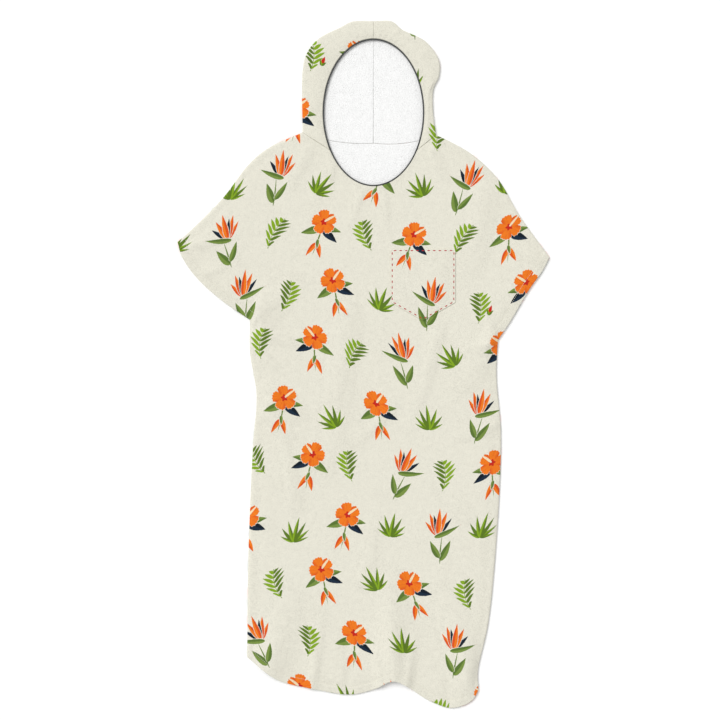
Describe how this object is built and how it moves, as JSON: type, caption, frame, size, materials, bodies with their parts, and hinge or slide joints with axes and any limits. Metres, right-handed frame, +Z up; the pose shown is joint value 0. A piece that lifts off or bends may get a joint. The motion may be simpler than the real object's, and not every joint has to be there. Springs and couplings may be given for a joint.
{
  "type": "hooded bath poncho",
  "caption": "Hooded towelling poncho laid flat, with short wide sleeves cut in one with the body, a patch pocket and a bound face opening.",
  "frame": {"origin": "on the surface that the poncho lies on, on the garment's centre line, halfway between the crown of the hood and the lowest point of the hem", "axes": "+Z up out of the front, +Y from the hem to the hood, +X to the right as seen from above with the hood at the top"},
  "size_m": [0.744, 1.3744, 0.0176],
  "materials": {
    "printed_terry": "matte cotton towelling, printed",
    "binding": "matte dark cotton tape"
  },
  "bodies": {
    "root": {"back_panel": "printed_terry", "front_panel": "printed_terry", "hood_half_left": "printed_terry", "hood_half_right": "printed_terry", "pocket": "printed_terry", "face_binding": "binding"}
  },
  "joints": []
}
